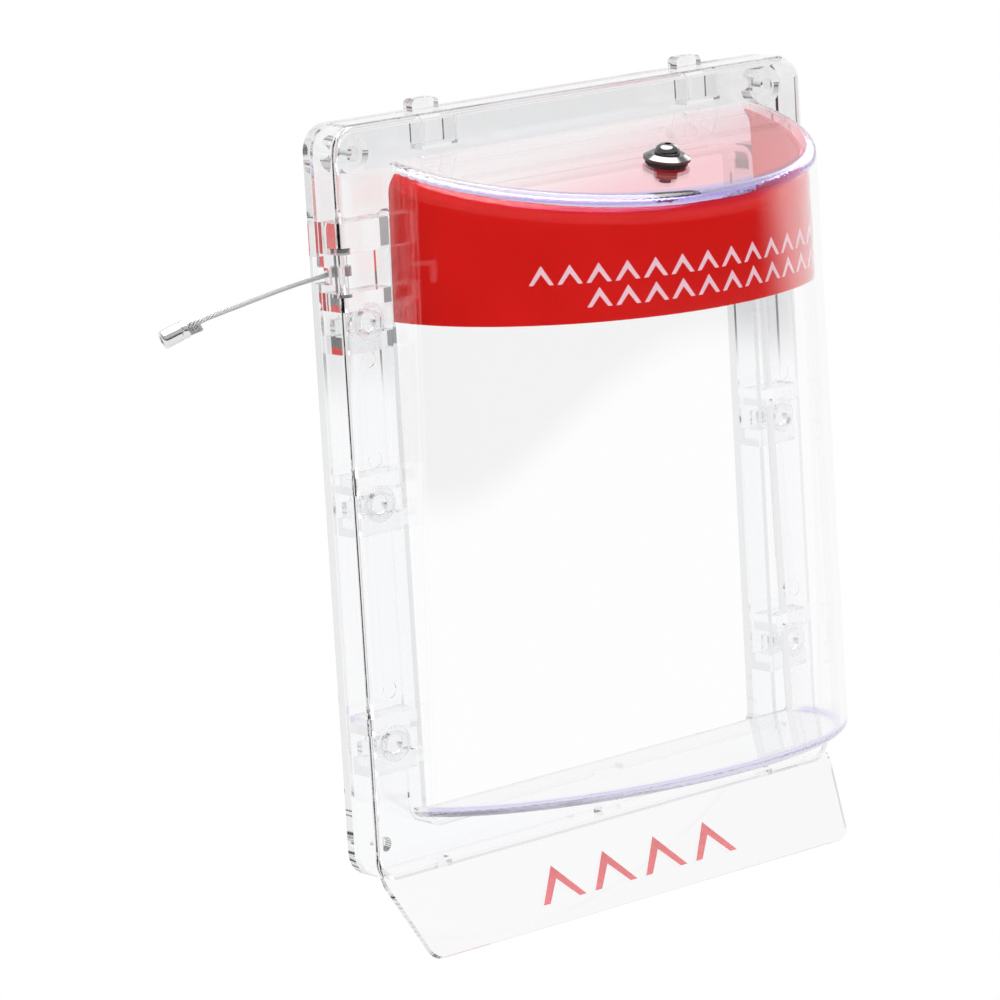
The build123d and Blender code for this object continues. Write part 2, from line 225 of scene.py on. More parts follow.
@dataclass(frozen=True)
class Dome:
    """The half-round dome as a formula, in millimetres of the row frame.

    Args:
        back: Depth of the wall plane that its half ellipses are centred on.
        low, high: Heights of the two sections that its walls run between.
        width_low, width_high: Half widths at those heights.
        depth_low, depth_high: Depths at those heights.
        crown, crown_fall: Height of the crown at the back, and its fall per depth.
        base, base_rise: Height of the base at the back, and its rise per depth.
        wall: Thickness of its walls.
        arc_per_turn: Length along a print that goes with a turn of one radian.
    """

    back: float = 16.0
    low: float = -108.2
    high: float = 114.6
    width_low: float = 87.5
    width_high: float = 82.0
    depth_low: float = 72.0
    depth_high: float = 74.0
    crown: float = 111.6
    crown_fall: float = 0.19
    base: float = -105.2
    base_rise: float = 0.13
    wall: float = 2.6
    arc_per_turn: float = 80.0

    def half_axes(self, z: Any, inset: Any) -> tuple[Any, Any]:
        """Half width and depth of the wall at a height, shrunk by an inset.

        Args:
            z: The height, a number or a socket.
            inset: How far inside the outer wall.

        Returns:
            The half width and the depth.
        """
        share = (z - self.low) / (self.high - self.low)
        width = share * (self.width_high - self.width_low) + self.width_low - inset
        depth = share * (self.depth_high - self.depth_low) + self.depth_low - inset
        return width, depth

    def point(self, turn: float, z: float, inset: float) -> Vector:
        """Point of a wall at a turn from the middle, in radians."""
        width, depth = self.half_axes(z, inset)
        return Vector((width * math.sin(turn), -self.back - depth * math.cos(turn), z))

    def wall_normal(self, place: Vector, inset: float, slack: float) -> Vector | None:
        """Outward normal of the wall at a place, or None where it isn't on the wall.

        Args:
            place: The place in millimetres.
            inset: How far the wall lies inside the outer one.
            slack: How far off the wall the place may be.

        Returns:
            The normal, or None.
        """
        forward = -self.back - place.y
        if forward < 0.0 or not self.low < place.z < self.high:
            return None
        width, depth = self.half_axes(place.z, inset)
        tall = self.high - self.low
        width_slope = (self.width_high - self.width_low) / tall
        depth_slope = (self.depth_high - self.depth_low) / tall
        across = place.x / width
        out = forward / depth
        slope = Vector((
            2 * across / width,
            -2 * out / depth,
            -2 * across**2 * width_slope / width - 2 * out**2 * depth_slope / depth,
        ))
        if abs(across**2 + out**2 - 1) > slack * slope.length:
            return None
        return slope.normalized()

    def ring(self, x: Sock, forward: Sock) -> Sock:
        """How far out a place is in plan, about 1 on the outer wall."""
        return ((x / self.width_low) ** 2.0 + (forward / self.depth_low) ** 2.0).sqrt()

    def below_crown(self, forward: Sock, z: Sock) -> Sock:
        """How far a place is below the crown's upper face."""
        return self.crown - forward * self.crown_fall - z

    def above_base(self, forward: Sock, z: Sock) -> Sock:
        """How far a place is above the base's lower face."""
        return z - self.base - forward * self.base_rise

    def wrap(self, nodes: Nodes, along: Sock, out: Sock, rise: Sock) -> Sock:
        """Bend a flat print round the wall.

        Args:
            nodes: The tree to work in.
            along: Place across the print.
            out: Distance in front of the outer wall.
            rise: Height.

        Returns:
            The bent place.
        """
        width, depth = self.half_axes(rise, -1.0 * out)
        turn = along / self.arc_per_turn
        return nodes.combine(width * turn.sin(), -self.back - depth * turn.cos(), rise)


DOME = Dome()


@dataclass(frozen=True)
class Tab:
    """The lift tab's middle plane, in millimetres of the row frame.

    Args:
        fold: Point in the middle of its upper edge.
        reach, drop: How far it runs forward and down.
        half_thickness: From its middle plane to its front face.
    """

    fold: Point = (0.0, -16.0, -125.0)
    reach: float = 15.0
    drop: float = 24.0
    half_thickness: float = 1.0

    def wrap(self, nodes: Nodes, along: Sock, out: Sock, rise: Sock) -> Sock:
        """Lay a flat print on the tab's front.

        Args:
            nodes: The tree to work in.
            along: Place across the print.
            out: Distance in front of the tab.
            rise: Distance up the tab from its fold, so below 0 on the tab.

        Returns:
            The laid place.
        """
        length = math.hypot(self.reach, self.drop)
        down_y = -self.reach / length
        down_z = -self.drop / length
        proud = out + self.half_thickness
        _, fold_y, fold_z = self.fold
        forward = fold_y - rise * down_y + proud * down_z
        return nodes.combine(along, forward, fold_z - rise * down_z - proud * down_y)


TAB = Tab()


def placed(name: str, data: bpy.types.ID) -> bpy.types.Object:
    """Put a new object into the scene.

    Args:
        name: The object's name.
        data: Its mesh or camera.

    Returns:
        The object.
    """
    made = bpy.data.objects.new(name, data)
    bpy.context.scene.collection.objects.link(made)
    return made


class GeometryTree:
    """A Geometry Nodes tree with named inputs."""

    def __init__(self, name: str) -> None:
        """Start an empty tree.

        Args:
            name: The tree's name.
        """
        self.group = bpy.data.node_groups.new(name, "GeometryNodeTree")
        self.nodes = Nodes(self.group)
        self.keys: dict[str, str] = {}

    def take(self, name: str, kind: str) -> Sock:
        """Add a named input and return it.

        Args:
            name: The input's name.
            kind: The part of its socket type after NodeSocket.

        Returns:
            The input as a socket.
        """
        made = self.group.interface.new_socket(name, in_out="INPUT", socket_type=f"NodeSocket{kind}")
        self.keys[name] = made.identifier
        return self.nodes.node("NodeGroupInput", output=name)

    def give(self, geometry: Sock, material: Sock) -> None:
        """Finish the tree with real, dressed geometry.

        Args:
            geometry: What the tree has made.
            material: What it is dressed in.
        """
        real = self.nodes.node("GeometryNodeRealizeInstances", values={0: geometry})
        dressed = self.nodes.node("GeometryNodeSetMaterial", values={"Geometry": real, "Material": material})
        self.group.interface.new_socket("Geometry", in_out="OUTPUT", socket_type="NodeSocketGeometry")
        self.nodes.node("NodeGroupOutput", values={0: dressed})

    def run(self, carrier_mesh: bpy.types.Mesh, values: dict[str, Any]) -> bpy.types.Mesh:
        """Evaluate the tree and return its result as a plain mesh.

        Args:
            carrier_mesh: The mesh that the tree starts from.
            values: Values of the named inputs.

        Returns:
            The resulting mesh.
        """
        carrier = placed("carrier", carrier_mesh)
        modifier = carrier.modifiers.new("nodes", "NODES")
        modifier.node_group = self.group
        for name, value in values.items():
            modifier[self.keys[name]] = value
        graph = bpy.context.evaluated_depsgraph_get()
        made = bpy.data.meshes.new_from_object(carrier.evaluated_get(graph), depsgraph=graph)
        carrier.modifiers.remove(modifier)
        bpy.data.objects.remove(carrier)
        return made


def darker(colour: Colour, share: float) -> Colour:
    """A colour with its light cut to a share."""
    return tuple(part * share for part in colour[:3]) + (1.0,)


@dataclass(frozen=True)
class Finish:
    """A surface finish that becomes one Blender material.

    Args:
        name: The finish's name.
        slot: The record's material slot that it belongs to; not used.
    """

    name: str
    slot: str | None = None

    def material(self) -> bpy.types.Material:
        """Make the finish's material on first use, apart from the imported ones.

        Returns:
            The material.
        """
        label = f"finish_{self.name}"
        found = bpy.data.materials.get(label)
        if found:
            return found
        made = bpy.data.materials.new(label)
        made.use_nodes = True
        nodes = Nodes(made.node_tree)
        surface = self.surface(nodes)
        nodes.node("ShaderNodeOutputMaterial", values={0: surface})
        return made

    def surface(self, nodes: Nodes) -> Sock:
        """Make the finish's shader.

        Args:
            nodes: The material's tree.

        Returns:
            The shader.
        """
        raise NotImplementedError


@dataclass(frozen=True)
class ClearPlastic(Finish):
    """Polished clear polycarbonate with a violet cast in the dome's rims and a painted pink glow of the red
    band in its crown.

    Args:
        tint: Colour of the light that one face passes.
        rim: Colour in the dome's rims.
        painted_band_glow: Painted colour of the red band's glow seen through the crown, strongest at its
            front, where the band stands under it.
        index: Refractive index.
        shine, smudge: Lowest roughness, and how much the smudges add.
        smudge_scale: Scale of the smudges, per millimetre.
        lower_share: Strength of the lower rim's cast beside the upper one's.
        rim_out, rim_forward: Where the rims' cast sets in, out from the middle and forward.
        rim_skin, rim_core: Where it sets in and fades again below the face.
        painted_band_glow_core: Where the painted glow fades below the crown's face.
        painted_band_glow_out, painted_band_glow_back: Where the painted glow ends at the rim and at the back.
        painted_band_glow_lean, painted_band_glow_reach: How far the painted glow's strength leans to the
        right, and where it grows.
    """

    tint: Colour = (0.985, 0.985, 0.99, 1.0)
    rim: Colour = (0.46, 0.38, 0.82, 1.0)
    painted_band_glow: Colour = (0.95, 0.5, 0.56, 1.0)
    index: float = 1.58
    shine: float = 0.008
    smudge: float = 0.012
    smudge_scale: float = 0.02
    lower_share: float = 0.5
    rim_out: Span = (0.92, 0.95)
    rim_forward: Span = (2.0, 8.0)
    rim_skin: Span = (-2.0, -1.0)
    rim_core: Span = (2.5, 4.5)
    painted_band_glow_core: Span = (3.0, 4.0)
    painted_band_glow_out: Span = (0.92, 0.97)
    painted_band_glow_back: Span = (-1.0, 2.0)
    painted_band_glow_lean: float = 0.3
    painted_band_glow_reach: Span = (0.0, 58.0)

    def surface(self, nodes: Nodes) -> Sock:
        """Refracting shader, violet in the dome's rims, with a painted pink glow of the red band in its
        crown.
        """
        where, x, y, z = nodes.place()
        forward = -DOME.back - y
        plain = nodes.mix(self._rims(x, forward, z), self.tint, self.rim)
        # Painted pink glow in the crown, standing in for the red band's light seen through it.
        colour = nodes.mix(self._crown(x, forward, z), plain, self.painted_band_glow)
        roughness = self.shine + nodes.noise(where, self.smudge_scale, detail=3.0) * self.smudge
        return nodes.principled(colour, roughness, IOR=self.index, Transmission_Weight=1.0)

    def _rims(self, x: Sock, forward: Sock, z: Sock) -> Sock:
        """Mask of the dome's upper and lower outer rims.

        Args:
            x, forward, z: Place to the right, in front of the dome's back, and up.

        Returns:
            The mask, full in the upper rim.
        """
        outer = DOME.ring(x, forward).ramp(*self.rim_out) * forward.ramp(*self.rim_forward)
        upper, lower = (
            deep.ramp(*self.rim_skin) * (1.0 - deep.ramp(*self.rim_core))
            for deep in (DOME.below_crown(forward, z), DOME.above_base(forward, z))
        )
        return outer * (upper + lower * self.lower_share)

    def _crown(self, x: Sock, forward: Sock, z: Sock) -> Sock:
        """Mask of the painted pink glow of the red band in the crown, inside its rim.

        Args:
            x, forward, z: Place to the right, in front of the dome's back, and up.

        Returns:
            The mask, strongest at the front.
        """
        top = 1.0 - DOME.below_crown(forward, z).ramp(*self.painted_band_glow_core)
        inside = 1.0 - DOME.ring(x, forward).ramp(*self.painted_band_glow_out)
        front = (x * self.painted_band_glow_lean + forward).ramp(*self.painted_band_glow_reach)
        return top * (inside * forward.ramp(*self.painted_band_glow_back)) * front


@dataclass(frozen=True)
class RedGloss(Finish):
    """Deep red glossy plastic.

    Args:
        red: Its colour.
        deep_share: Light left in its darkest clouds.
        shine, cloud: Lowest roughness, and how much the clouds add.
        cloud_scale: Scale of the clouds, per millimetre.
    """

    red: Colour = (0.79, 0.007, 0.0045, 1.0)
    deep_share: float = 0.85
    shine: float = 0.07
    cloud: float = 0.05
    cloud_scale: float = 0.03

    def surface(self, nodes: Nodes) -> Sock:
        """Glossy shader with a slight unevenness."""
        where, _, _, _ = nodes.place()
        cloud = nodes.noise(where, self.cloud_scale)
        colour = nodes.mix(cloud, darker(self.red, self.deep_share), self.red)
        return nodes.principled(colour, self.shine + cloud * self.cloud, IOR=1.5)


@dataclass(frozen=True)
class Rubber(Finish):
    """Black rubber.

    Args:
        black: Its colour.
        shine, grain: Lowest roughness, and how much the grain adds.
        grain_scale, grain_depth: Scale of the grain, per millimetre, and its depth in metres.
    """

    black: Colour = (0.012, 0.012, 0.013, 1.0)
    shine: float = 0.45
    grain: float = 0.25
    grain_scale: float = 4.0
    grain_depth: float = 0.00002

    def surface(self, nodes: Nodes) -> Sock:
        """Dull shader with a fine grain."""
        where, _, _, _ = nodes.place()
        grain = nodes.noise(where, self.grain_scale, detail=4.0)
        normal = nodes.bump(grain, self.grain_depth)
        return nodes.principled(self.black, self.shine + grain * self.grain, Normal=normal)


@dataclass(frozen=True)
class Metal(Finish):
    """Polished or drawn metal.

    Args:
        colour: Colour of its reflection.
        shine, grain: Lowest roughness, and how much the flecks add.
        metallic: How much of it looks like bare metal.
        dark_share: Light left in the darkest flecks.
        fleck_scale, fleck_depth: Scale of the flecks, per millimetre, and their depth in metres.
    """

    colour: Colour = (0.6, 0.6, 0.61, 1.0)
    shine: float = 0.14
    grain: float = 0.12
    metallic: float = 1.0
    dark_share: float = 0.8
    fleck_scale: float = 1.5
    fleck_depth: float = 0.00001

    def surface(self, nodes: Nodes) -> Sock:
        """Metallic shader with fine variation."""
        where, _, _, _ = nodes.place()
        fleck = nodes.noise(where, self.fleck_scale, detail=4.0)
        colour = nodes.mix(fleck, darker(self.colour, self.dark_share), self.colour)
        normal = nodes.bump(fleck, self.fleck_depth)
        roughness = self.shine + fleck * self.grain
        return nodes.principled(colour, roughness, Metallic=self.metallic, Normal=normal)


@dataclass(frozen=True)
class Ink(Finish):
    """Printed ink.

    Args:
        colour: The ink's colour.
        thin_share: Light left where the ink is thin.
        shine, cloud: Lowest roughness, and how much the clouds add.
        cloud_scale: Scale of the clouds, per millimetre.
    """

    colour: Colour = (0.9, 0.82, 0.85, 1.0)
    thin_share: float = 0.9
    shine: float = 0.35
    cloud: float = 0.1
    cloud_scale: float = 0.6

    def surface(self, nodes: Nodes) -> Sock:
        """Satin shader with slightly uneven cover."""
        where, _, _, _ = nodes.place()
        cloud = nodes.noise(where, self.cloud_scale, detail=3.0)
        colour = nodes.mix(cloud, darker(self.colour, self.thin_share), self.colour)
        return nodes.principled(colour, self.shine + cloud * self.cloud)


@dataclass(frozen=True)
class PaleFloor(Finish):
    """Plain pale studio floor that lights itself.

    Args:
        dark: Light of its far part in front, as a mirror-like face sees it.
        far: Distances from the middle between which its near part ends, in millimetres.
        behind: Distances to the back between which its lit part starts, in millimetres.
    """

    dark: float = 0.03
    far: Span = (2650.0, 2950.0)
    behind: Span = (200.0, 2200.0)

    def surface(self, nodes: Nodes) -> Sock:
        """Even white, and darker far out in front for light that is mirrored once."""
        _, x, y, _ = nodes.place()
        near = 1.0 - (x * x + y * y).sqrt().ramp(*self.far)
        behind = (y + x * REAR_LEAN).ramp(*self.behind)
        lit = near + behind * (1.0 - near)
        light = 1.0 - mirrored(nodes, 1) * (1.0 - lit) * (1.0 - self.dark)
        seen = light + mirrored(nodes, 2) * (MANY_LIGHT - light)
        grey = nodes.node("ShaderNodeCombineColor", values={0: seen, 1: seen, 2: seen})
        return nodes.node("ShaderNodeEmission", values={"Color": grey, "Strength": 1.0})


def mirrored(nodes: Nodes, times: int) -> Sock:
    """Tell light that was mirrored on its way from light that wasn't.

    Args:
        nodes: The tree to work in.
        times: How often it has to have been mirrored.

    Returns:
        1 for light that was mirrored as often or more, else 0.
    """
    return nodes.node("ShaderNodeLightPath", output="Glossy Depth").above(times - 0.5)


CLEAR_COVER = ClearPlastic("clear_cover", "clear_cover")
CLEAR_FRAME = ClearPlastic("clear_frame", "clear_frame", tint=(0.965, 0.97, 0.975, 1.0))
RED = RedGloss("red_gloss", "red_plastic")
RUBBER = Rubber("black_rubber", "black_rubber")
DARK_CHROME = Metal(
    "dark_chrome", "plated_steel", colour=(0.17, 0.165, 0.165, 1.0), shine=0.08, grain=0.08,
)
PLATED = Metal("plated_steel", "plated_steel")
WIRE = Metal(
    "wire_steel", "steel_cable", colour=(0.46, 0.46, 0.46, 1.0), shine=0.34, grain=0.15, metallic=0.4,
)
ALUMINIUM = Metal(
    "polished_aluminium", "aluminium_sleeve", colour=(0.86, 0.86, 0.86, 1.0), shine=0.1, grain=0.08,
)
BAND_INK = Ink("band_ink", "red_plastic", colour=(1.0, 0.68, 0.76, 1.0))
TAB_INK = Ink("tab_ink", "red_plastic", colour=(0.6, 0.16, 0.17, 1.0))
FLOOR = PaleFloor("pale_floor")


def dress(node: str, finish: Finish) -> None:
    """Give a CAD node its finish.

    Args:
        node: The node's name.
        finish: The finish for all its slots.
    """
    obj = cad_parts[node]
    obj.data.materials.clear()
    obj.data.materials.append(finish.material())
    log.info("dressed %s with %s", node, finish.name)


def settle(name: str, mesh: bpy.types.Mesh, finish: Finish, body: Body,
           nodes: Iterable[str] = ()) -> bpy.types.Object:
    """Make a finished mesh a piece of the object.

    Args:
        name: The piece's name.
        mesh: Its mesh, in metres of the row frame.
        finish: Its finish.
        body: The body that it rides on.
        nodes: The CAD nodes that it stands for.

    Returns:
        The piece.
    """
    mesh.name = name
    mesh.materials.clear()
    mesh.materials.append(finish.material())
    piece = placed(name, mesh)
    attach(piece, body.value)
    stood_for = list(nodes)
    if stood_for:
        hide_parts(*stood_for)
    log.info("%s: %d faces, in %s", name, len(mesh.polygons), finish.name)
    return piece


def mesh_of(name: str, shape: bmesh.types.BMesh) -> bpy.types.Mesh:
    """Turn a bmesh into a smooth mesh with its sharp edges marked.

    Args:
        name: The mesh's name.
        shape: The bmesh, which is freed.

    Returns:
        The mesh.
    """
    mesh = bpy.data.meshes.new(name)
    shape.to_mesh(mesh)
    shape.free()
    mesh.shade_smooth()
    mesh.set_sharp_from_angle(angle=SHARP_ANGLE)
    return mesh


@dataclass
class Moulding:
    """A merged copy of a CAD node with the true normals of its flat and curved faces.

    Args:
        node: The CAD node.
        name: The copy's name.
        finish: Its finish.
        body: The body that it rides on.
        walls: Inset of each dome wall on it, with 1 where the wall faces out and -1 where in.
        contact: Depth of a face that touches another clear piece, which is let in a little.
        wall_slack: How far off a dome wall its corners may be.
    """

    node: str
    name: str
    finish: Finish
    body: Body
    walls: tuple[tuple[float, int], ...] = ()
    contact: float | None = None
    wall_slack: float = 0.02

    def build(self) -> bpy.types.Object:
        """Copy, merge, let in, and set the normals.

        Returns:
            The piece.
        """
        shape = bmesh.new()
        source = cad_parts[self.node].data
        places = [shape.verts.new(vertex.co) for vertex in source.vertices]
        shape.verts.ensure_lookup_table()
        for polygon in source.polygons:
            shape.faces.new([places[index] for index in polygon.vertices])
        bmesh.ops.remove_doubles(shape, verts=shape.verts[:], dist=MERGE_GAP)
        bmesh.ops.dissolve_degenerate(shape, edges=shape.edges[:], dist=MERGE_GAP)
        if self.contact is not None:
            for vertex in shape.verts:
                if abs(vertex.co.y + self.contact * MM) < CONTACT_SLACK:
                    vertex.co.y -= CONTACT_GAP * MM
        loose = sum(not edge.is_manifold for edge in shape.edges)
        log.info("%s: %d open edges", self.name, loose)
        normals = self._normals(shape)
        mesh = mesh_of(self.name, shape)
        mesh.normals_split_custom_set(normals)
        return settle(self.name, mesh, self.finish, self.body, [self.node])

    def _normals(self, shape: bmesh.types.BMesh) -> list[Vector]:
        """Find a normal for each corner, led by the largest flat face beside it.

        Args:
            shape: The merged copy.

        Returns:
            The normals, in the order of the faces and their corners.
        """
        shape.faces.ensure_lookup_table()
        shape.faces.index_update()
        shape.normal_update()
        weight = self._flat_areas(shape)
        close = math.cos(SHARP_ANGLE)
        found = []
        for face in shape.faces:
            for corner in face.loops:
                exact = self._wall(corner.vert.co / MM, face.normal)
                if exact is not None:
                    found.append(exact)
                    continue
                total = Vector()
                for other in corner.vert.link_faces:
                    if other.normal.dot(face.normal) > close:
                        total += other.normal * weight[other.index]
                found.append(total.normalized() if total.length > 0 else face.normal.copy())
        return found

    def _wall(self, place: Vector, normal: Vector) -> Vector | None:
        """Find the exact normal of a dome wall at a corner.

        Args:
            place: The corner in millimetres.
            normal: The normal of its face.

        Returns:
            The exact normal, or None where the face belongs to no dome wall.
        """
        for inset, facing in self.walls:
            exact = DOME.wall_normal(place, inset, self.wall_slack)
            if exact is not None and (exact * facing).dot(normal) > math.cos(SHARP_ANGLE / 2):
                return exact * facing
        return None

    @staticmethod
    def _flat_areas(shape: bmesh.types.BMesh) -> list[float]:
        """Measure the flat region that each face is in.

        Args:
            shape: The merged copy.

        Returns:
            The region's area for each face.
        """
        region = [-1] * len(shape.faces)
        areas: list[float] = []
        for start in shape.faces:
            if region[start.index] >= 0:
                continue
            region[start.index] = len(areas)
            todo = [start]
            area = 0.0
            while todo:
                face = todo.pop()
                area += face.calc_area()
                for edge in face.edges:
                    for other in edge.link_faces:
                        flat = other.normal.dot(start.normal) > math.cos(FLAT_ANGLE)
                        if region[other.index] < 0 and flat:
                            region[other.index] = len(areas)
                            todo.append(other)
            areas.append(area)
        return [areas[index] for index in region]


def rounded(outline: Sequence[Point], steps: int = 4) -> list[tuple[float, float]]:
    """Round the corners of an outline.

    Args:
        outline: Radius, place along the axis and corner size of each point.
        steps: Pieces of each rounded corner.

    Returns:
        Radius and place of each point of the rounded outline.
    """
    points = [Vector(point[:2]) for point in outline]
    found = [tuple(points[0])]
    for before, middle, after, size in zip(points, points[1:], points[2:], (p[2] for p in outline[1:])):
        if size <= 0:
            found.append(tuple(middle))
            continue
        start = middle + (before - middle).normalized() * size
        end = middle + (after - middle).normalized() * size
        for step in range(steps + 1):
            share = step / steps
            found.append(tuple(start.lerp(middle, share).lerp(middle.lerp(end, share), share)))
    found.append(tuple(points[-1]))
    return found


def lathe(name: str, outline: Sequence[tuple[float, float]], origin: Vector, aim: Vector,
          segments: int) -> bpy.types.Mesh:
    """Turn an outline into a closed round mesh.

    Args:
        name: The mesh's name.
        outline: Radius and place along the axis of each point, in millimetres, from axis to axis.
        origin: Where the axis starts, in millimetres.
        aim: The axis.
        segments: Corners of each ring.

    Returns:
        The mesh, in metres.
    """
    axis = aim.normalized()
    side = axis.orthogonal().normalized()
    other = axis.cross(side)
    shape = bmesh.new()
    rings: list[list[bmesh.types.BMVert]] = []
    for radius, along in outline:
        centre = origin + axis * along
        if radius == 0:
            rings.append([shape.verts.new(centre * MM)])
            continue
        turns = (FULL_TURN * step / segments for step in range(segments))
        spokes = (side * math.cos(turn) + other * math.sin(turn) for turn in turns)
        rings.append([shape.verts.new((centre + spoke * radius) * MM) for spoke in spokes])
    for low, high in zip(rings, rings[1:]):
        for step in range(segments):
            corners = [
                low[step % len(low)], low[(step + 1) % len(low)],
                high[(step + 1) % len(high)], high[step % len(high)],
            ]
            shape.faces.new(list(dict.fromkeys(corners)))
    bmesh.ops.recalc_face_normals(shape, faces=shape.faces[:])
    return mesh_of(name, shape)


@dataclass
class HangerPegs:
    """Six headed pegs behind the flange, one turned shape set at each place.

    Args:
        nodes: The CAD pegs.
        neck, head, base: Radii of the peg's neck, head and foot.
        head_thickness, base_thickness: Thickness of its head and foot.
        edge: Rounding of its edges.
        sides: Corners of its rings.
    """

    nodes: tuple[str, ...] = tuple(sorted(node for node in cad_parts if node.endswith("_peg")))
    neck: float = 3.0
    head: float = 3.8
    head_thickness: float = 1.4
    base: float = 6.0
    base_thickness: float = 1.2
    edge: float = 0.35
    sides: int = 48

    def outline(self, length: float) -> list[tuple[float, float]]:
        """Draw the peg from its tip to its base.

        Args:
            length: The peg's length.

        Returns:
            Radius and place of each point.
        """
        shoulder = length - self.base_thickness
        return rounded([
            (0.0, 0.0, 0.0),
            (self.head, 0.0, self.edge),
            (self.head, self.head_thickness, self.edge),
            (self.neck, self.head_thickness, self.edge / 2),
            (self.neck, shoulder, self.edge * 2),
            (self.base, shoulder, self.edge),
            (self.base, length, self.edge / 2),
            (0.0, length, 0.0),
        ])

    def build(self) -> None:
        """Set a peg at each CAD peg's place."""
        low, high = (Vector(corner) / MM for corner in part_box(self.nodes[0]))
        length = high.y - low.y - CONTACT_GAP
        pattern = lathe("peg_pattern", self.outline(length), Vector(), Vector((0, -1, 0)), self.sides)
        pattern_piece = bpy.data.objects.new("peg_pattern", pattern)
        tree = GeometryTree("pegs_at_points")
        points = tree.take("Places", "Geometry")
        peg = tree.take("Peg", "Object")
        material = tree.take("Material", "Material")
        shape = tree.nodes.node("GeometryNodeObjectInfo", values={"Object": peg}, output="Geometry")
        pegs = tree.nodes.node("GeometryNodeInstanceOnPoints", values={"Points": points, "Instance": shape})
        tree.give(pegs, material)
        places = bpy.data.meshes.new("peg_places")
        places.from_pydata([self._tip(node) for node in self.nodes], [], [])
        made = tree.run(places, {"Peg": pattern_piece, "Material": CLEAR_COVER.material()})
        bpy.data.objects.remove(pattern_piece)
        settle("hanger_pegs", made, CLEAR_COVER, Body.COVER, self.nodes)

    @staticmethod
    def _tip(node: str) -> Vector:
        """Middle of a CAD peg's tip."""
        low, high = (Vector(corner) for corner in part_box(node))
        return Vector(((low.x + high.x) / 2, high.y, (low.z + high.z) / 2))


@dataclass
class PrintedRow:
    """A row of upward marks printed on a curved or sloping face.

    Args:
        name: The row's name.
        finish: Its ink.
        face: The face that it is printed on.
        count, pitch: How many marks, and how far apart.
        width, height, stroke: Size of one mark.
        rise: Where the marks' feet are, as the face counts it.
        proud: How far in front of the face's own surface the print starts.
        thickness: Thickness of the ink.
    """

    name: str
    finish: Finish
    face: Dome | Tab
    count: int
    pitch: float
    width: float
    height: float
    stroke: float
    rise: float
    proud: float
    thickness: float = 0.04

    def mark(self) -> bpy.types.Mesh:
        """Make one upward chevron, as a thin closed plate.

        Returns:
            Its mesh, in millimetres and flat.
        """
        half = self.width / 2
        foot = self.stroke
        drop = self.stroke * self.height / (half - foot / 2)
        outline = [
            (-half, 0.0), (-half + foot, 0.0), (0.0, self.height - drop),
            (half - foot, 0.0), (half, 0.0), (0.0, self.height),
        ]
        shape = bmesh.new()
        quads = ((0, 1, 2, 5), (2, 3, 4, 5))
        back = [shape.verts.new((x, self.proud, z)) for x, z in outline]
        front = [shape.verts.new((x, self.proud + self.thickness, z)) for x, z in outline]
        for quad in quads:
            shape.faces.new([back[index] for index in quad])
            shape.faces.new([front[index] for index in reversed(quad)])
        for index in range(len(outline)):
            after = (index + 1) % len(outline)
            shape.faces.new([back[index], front[index], front[after], back[after]])
        bmesh.ops.recalc_face_normals(shape, faces=shape.faces[:])
        return mesh_of("mark", shape)

    def build(self) -> None:
        """Repeat the mark along the row and lay it on the face."""
        pattern = bpy.data.objects.new("mark", self.mark())
        tree = GeometryTree("printed_row")
        # The row starts from nothing, but a modifier's tree has to take its carrier's mesh first.
        tree.take("Geometry", "Geometry")
        count = tree.take("Count", "Int")
        pitch = tree.take("Pitch", "Float")
        rise = tree.take("Rise", "Float")
        mark = tree.take("Mark", "Object")
        material = tree.take("Material", "Material")
        nodes = tree.nodes
        line = nodes.node("GeometryNodeMeshLine", {"mode": "OFFSET"}, {
            "Count": count,
            "Start Location": nodes.combine((count - 1.0) * pitch * -0.5, 0.0, rise),
            "Offset": nodes.combine(pitch, 0.0, 0.0),
        })
        shape = nodes.node("GeometryNodeObjectInfo", values={"Object": mark}, output="Geometry")
        marks = nodes.node("GeometryNodeInstanceOnPoints", values={"Points": line, "Instance": shape})
        real = nodes.node("GeometryNodeRealizeInstances", values={0: marks})
        laid = self.face.wrap(nodes, *nodes.split(nodes.node("GeometryNodeInputPosition")))
        metres = nodes.scale(laid, MM)
        bent = nodes.node("GeometryNodeSetPosition", values={"Geometry": real, "Position": metres})
        tree.give(bent, material)
        made = tree.run(bpy.data.meshes.new("row"), {
            "Count": self.count, "Pitch": self.pitch, "Rise": self.rise,
            "Mark": pattern, "Material": self.finish.material(),
        })
        bpy.data.objects.remove(pattern)
        settle(self.name, made, self.finish, Body.COVER)


def join(shape: bmesh.types.BMesh, left: Sequence[bmesh.types.BMVert],
         right: Sequence[bmesh.types.BMVert]) -> None:
    """Join two rows of corners with a strip of faces.

    Args:
        shape: The bmesh that they are in.
        left, right: The rows, equally long.
    """
    for low in range(len(left) - 1):
        shape.faces.new([left[low], right[low], right[low + 1], left[low + 1]])


